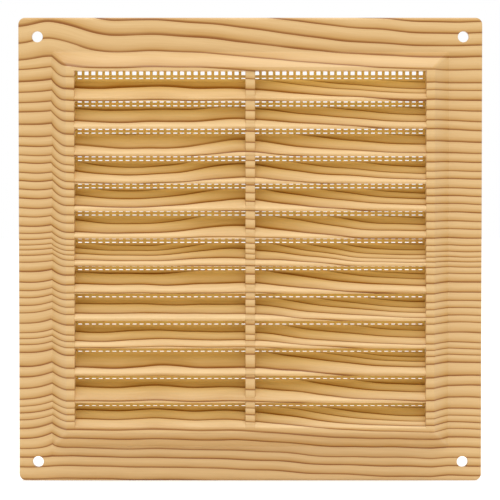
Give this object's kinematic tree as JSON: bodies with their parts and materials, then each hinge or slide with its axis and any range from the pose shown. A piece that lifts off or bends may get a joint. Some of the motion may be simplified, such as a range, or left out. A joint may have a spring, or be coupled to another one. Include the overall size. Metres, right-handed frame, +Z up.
{
  "type": "square vent grille",
  "caption": "Square wall vent grille: flat flange with corner screw holes, raised bevelled housing, fixed slanted louvres with a centre mullion, and an insect mesh behind.",
  "frame": {"origin": "centre of the wall face, at the middle of the four screw holes", "axes": "+Y into the wall, -Y out of the grille's front, +Z up, +X to the right seen from the front"},
  "size_m": [0.17, 0.009, 0.17],
  "materials": {
    "wood_print_plastic": "satin plastic with a printed pine-grain film",
    "mesh_plastic": "plain ochre plastic"
  },
  "bodies": {
    "root": {"louvre_frame": "wood_print_plastic", "insect_mesh": "mesh_plastic"}
  },
  "joints": []
}
